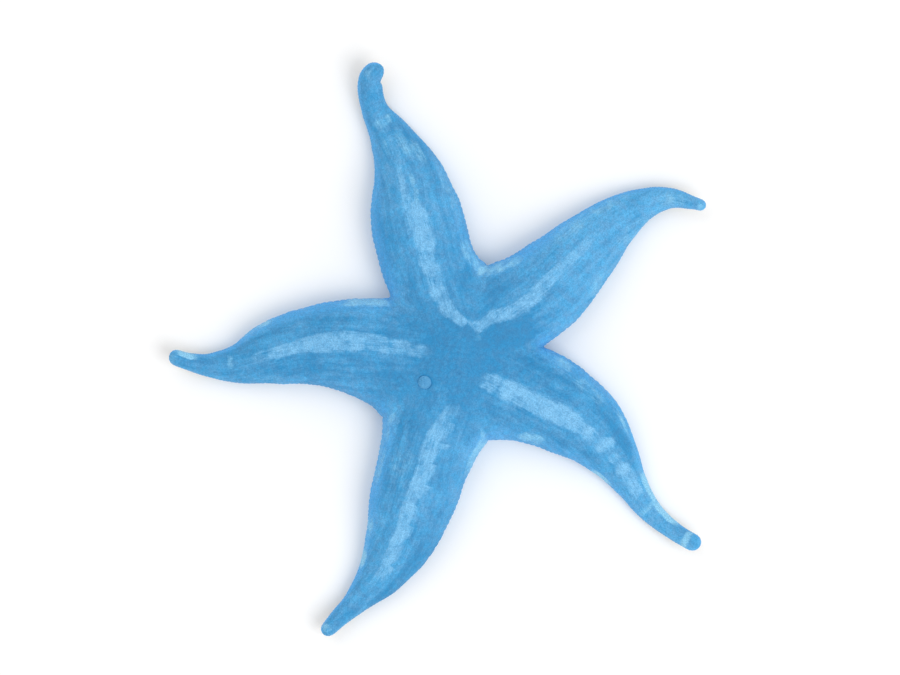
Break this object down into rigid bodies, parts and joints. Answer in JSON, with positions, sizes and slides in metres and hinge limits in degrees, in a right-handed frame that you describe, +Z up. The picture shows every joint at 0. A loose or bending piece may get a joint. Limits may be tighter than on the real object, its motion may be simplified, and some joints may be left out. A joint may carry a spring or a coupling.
{
  "type": "blue sea star",
  "caption": "Five-armed blue sea star lying on its flat underside, with rounded tapering arms, turned-up tips and grooves with tube feet beneath.",
  "frame": {"origin": "on the floor, under the middle of the star's bounding box seen from above; the mouth's axis lies 7 mm to +X and 2 mm to -Y of it", "axes": "+Z up, away from the floor; +Y along the picture's upward direction, the longest extent; +X to the picture's right"},
  "size_m": [0.2017, 0.2153, 0.0235],
  "materials": {
    "skin": "granular, matt, wet sheen",
    "oral_skin": "soft membrane",
    "sieve_plate": "fine grooved plate",
    "eye_pigment": "glossy"
  },
  "bodies": {
    "root": {"disc": "skin", "mouth": "oral_skin", "madreporite": "sieve_plate", "arm_a_root": "skin", "arm_a_middle": "skin", "arm_a_tip": "skin", "eye_spot_a": "eye_pigment", "arm_b_root": "skin", "arm_b_middle": "skin", "arm_b_tip": "skin", "eye_spot_b": "eye_pigment", "arm_c_root": "skin", "arm_c_middle": "skin", "arm_c_tip": "skin", "eye_spot_c": "eye_pigment", "arm_d_root": "skin", "arm_d_middle": "skin", "arm_d_tip": "skin", "eye_spot_d": "eye_pigment", "arm_e_root": "skin", "arm_e_middle": "skin", "arm_e_tip": "skin", "eye_spot_e": "eye_pigment"}
  },
  "joints": []
}
